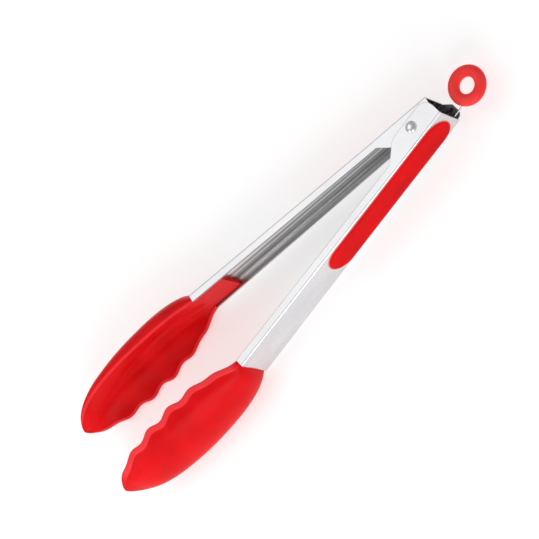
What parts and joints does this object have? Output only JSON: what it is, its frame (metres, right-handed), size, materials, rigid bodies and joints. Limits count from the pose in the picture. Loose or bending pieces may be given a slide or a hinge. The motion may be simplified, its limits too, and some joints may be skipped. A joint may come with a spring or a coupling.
{
  "type": "kitchen tongs",
  "caption": "Spring loaded stainless kitchen tongs with scalloped silicone heads, rubber grips and a pull ring that locks the arms shut.",
  "frame": {"origin": "centre of the hanging hole in the pull ring", "axes": "+Z along the ring hole and the rivet, +Y from the heads up towards the ring, +X across from the inner arm to the outer arm"},
  "size_m": [0.0809, 0.3403, 0.0404],
  "materials": {
    "arm_steel": "satin rolled sheet",
    "rivet_steel": "polished",
    "spring_steel": "drawn wire",
    "stamped_steel": "stamped sheet",
    "wire_steel": "drawn wire",
    "ring_plastic": "satin moulded",
    "grip_rubber": "satin moulded",
    "core_nylon": "moulded nylon",
    "head_silicone": "satin silicone"
  },
  "bodies": {
    "outer_side": {"outer_arm": "arm_steel", "pivot_rivet": "rivet_steel", "torsion_spring": "spring_steel", "outer_grip": "grip_rubber", "outer_head_core": "core_nylon", "outer_head_skin": "head_silicone"},
    "inner_side": {"inner_arm": "arm_steel", "inner_grip": "grip_rubber", "inner_head_core": "core_nylon", "inner_head_skin": "head_silicone"},
    "lock": {"lock_slider": "stamped_steel", "pull_wire": "wire_steel", "pull_ring": "ring_plastic"}
  },
  "joints": [
    {"name": "squeeze", "type": "hinge", "parent": "outer_side", "child": "inner_side", "pos_m": [0.00105, -0.03752, 0.005], "axis": [0, 0, 1], "range_deg": [0, 9.2], "stiffness_Nm_per_rad": 0.44, "springref_deg": -19.48, "deforming": ["torsion_spring"]},
    {"name": "lock_pull", "type": "slide", "parent": "outer_side", "child": "lock", "axis": [-0.1132, 0.9936, 0], "range_m": [0, 0.006]}
  ]
}
